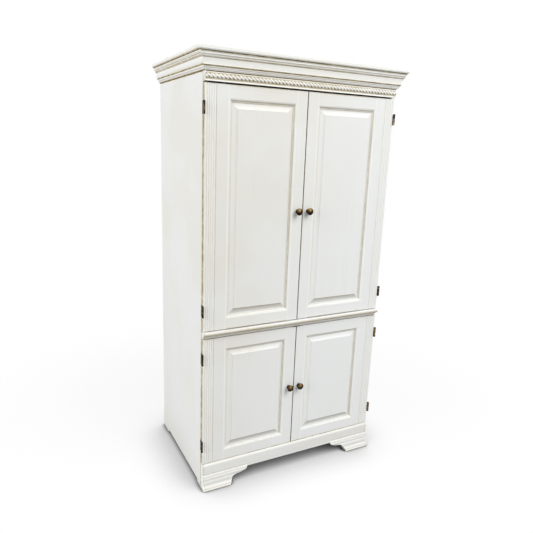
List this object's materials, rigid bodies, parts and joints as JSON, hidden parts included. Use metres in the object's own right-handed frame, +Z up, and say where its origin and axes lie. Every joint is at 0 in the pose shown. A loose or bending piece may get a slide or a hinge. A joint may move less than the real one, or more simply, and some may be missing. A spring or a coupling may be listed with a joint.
{
  "type": "computer armoire",
  "caption": "Tall painted computer armoire with paired raised-panel doors above and below, a mitred crown, a rope moulding and bracket feet.",
  "frame": {"origin": "centre of the bounding box in X and Y, on the floor under the feet", "axes": "+Z up, -Y out of the doors towards the user, +X to the right of someone facing the doors"},
  "size_m": [1.018, 0.6704, 1.937],
  "materials": {
    "antique_white_paint": "antique white paint with tan glaze in the grooves",
    "interior_paint": "plain cream-white paint",
    "birch": "clear satin",
    "antique_brass": "aged, satin",
    "brass_pin": "satin",
    "dark_bronze": "dark bronze with worn edges",
    "zinc_steel": "zinc plated",
    "black_plastic": "matte"
  },
  "bodies": {
    "carcass": {"base_rail": "antique_white_paint", "cable_grommets": "black_plastic", "carcass_floor": "interior_paint", "carcass_roof": "interior_paint", "desk_deck": "interior_paint", "door_catches": "black_plastic", "frieze_rail": "antique_white_paint", "front_crown": "antique_white_paint", "hinge_cabinet_leaves": "dark_bronze", "hinge_pins": "dark_bronze", "left_bracket_foot": "antique_white_paint", "left_crown": "antique_white_paint", "left_side_panel": "antique_white_paint", "lower_back_panel": "interior_paint", "lower_partition": "interior_paint", "lower_shelf": "interior_paint", "mid_moulding": "antique_white_paint", "mid_rail": "interior_paint", "monitor_shelf": "interior_paint", "right_bracket_foot": "antique_white_paint", "right_crown": "antique_white_paint", "right_side_panel": "antique_white_paint", "rope_moulding": "antique_white_paint", "shelf_pins": "brass_pin", "slide_cabinet_members": "zinc_steel", "top_board": "antique_white_paint", "tray_divider": "interior_paint", "upper_back_panel": "interior_paint", "upper_shelf": "interior_paint"},
    "upper_left_door": {"upper_left_fittings": "dark_bronze", "upper_left_hinge_stile": "antique_white_paint", "upper_left_knob": "antique_brass", "upper_left_lock_stile": "antique_white_paint", "upper_left_panel": "antique_white_paint", "upper_left_rails": "antique_white_paint"},
    "upper_right_door": {"upper_right_fittings": "dark_bronze", "upper_right_hinge_stile": "antique_white_paint", "upper_right_knob": "antique_brass", "upper_right_lock_stile": "antique_white_paint", "upper_right_panel": "antique_white_paint", "upper_right_rails": "antique_white_paint"},
    "lower_left_door": {"lower_left_fittings": "dark_bronze", "lower_left_hinge_stile": "antique_white_paint", "lower_left_knob": "antique_brass", "lower_left_lock_stile": "antique_white_paint", "lower_left_panel": "antique_white_paint", "lower_left_rails": "antique_white_paint"},
    "lower_right_door": {"lower_right_fittings": "dark_bronze", "lower_right_hinge_stile": "antique_white_paint", "lower_right_knob": "antique_brass", "lower_right_lock_stile": "antique_white_paint", "lower_right_panel": "antique_white_paint", "lower_right_rails": "antique_white_paint"},
    "keyboard_tray": {"keyboard_tray": "interior_paint", "keyboard_tray_slides": "zinc_steel"},
    "supply_drawer": {"supply_drawer_front": "interior_paint", "supply_drawer_box": "birch", "supply_drawer_slides": "zinc_steel"},
    "printer_tray": {"printer_tray": "interior_paint", "printer_tray_slides": "zinc_steel"}
  },
  "joints": [
    {"name": "upper_left_door_hinge", "type": "hinge", "parent": "carcass", "child": "upper_left_door", "pos_m": [-0.474, -0.29425, 1.29485], "axis": [0, 0, -1], "range_deg": [0, 265]},
    {"name": "upper_right_door_hinge", "type": "hinge", "parent": "carcass", "child": "upper_right_door", "pos_m": [0.474, -0.29425, 1.29485], "axis": [0, 0, 1], "range_deg": [0, 265]},
    {"name": "lower_left_door_hinge", "type": "hinge", "parent": "carcass", "child": "lower_left_door", "pos_m": [-0.474, -0.29425, 0.43735], "axis": [0, 0, -1], "range_deg": [0, 265]},
    {"name": "lower_right_door_hinge", "type": "hinge", "parent": "carcass", "child": "lower_right_door", "pos_m": [0.474, -0.29425, 0.43735], "axis": [0, 0, 1], "range_deg": [0, 265]},
    {"name": "keyboard_tray_slide", "type": "slide", "parent": "carcass", "child": "keyboard_tray", "axis": [0, -1, 0], "range_m": [0, 0.24]},
    {"name": "supply_drawer_slide", "type": "slide", "parent": "carcass", "child": "supply_drawer", "axis": [0, -1, 0], "range_m": [0, 0.25]},
    {"name": "printer_tray_slide", "type": "slide", "parent": "carcass", "child": "printer_tray", "axis": [0, -1, 0], "range_m": [0, 0.28]}
  ],
  "couplings": [
    {"joint": "keyboard_tray_slide", "follows": "upper_left_door_hinge", "m_per_rad": 0.05189},
    {"joint": "supply_drawer_slide", "follows": "upper_right_door_hinge", "m_per_rad": 0.05405},
    {"joint": "printer_tray_slide", "follows": "lower_right_door_hinge", "m_per_rad": 0.06053}
  ]
}
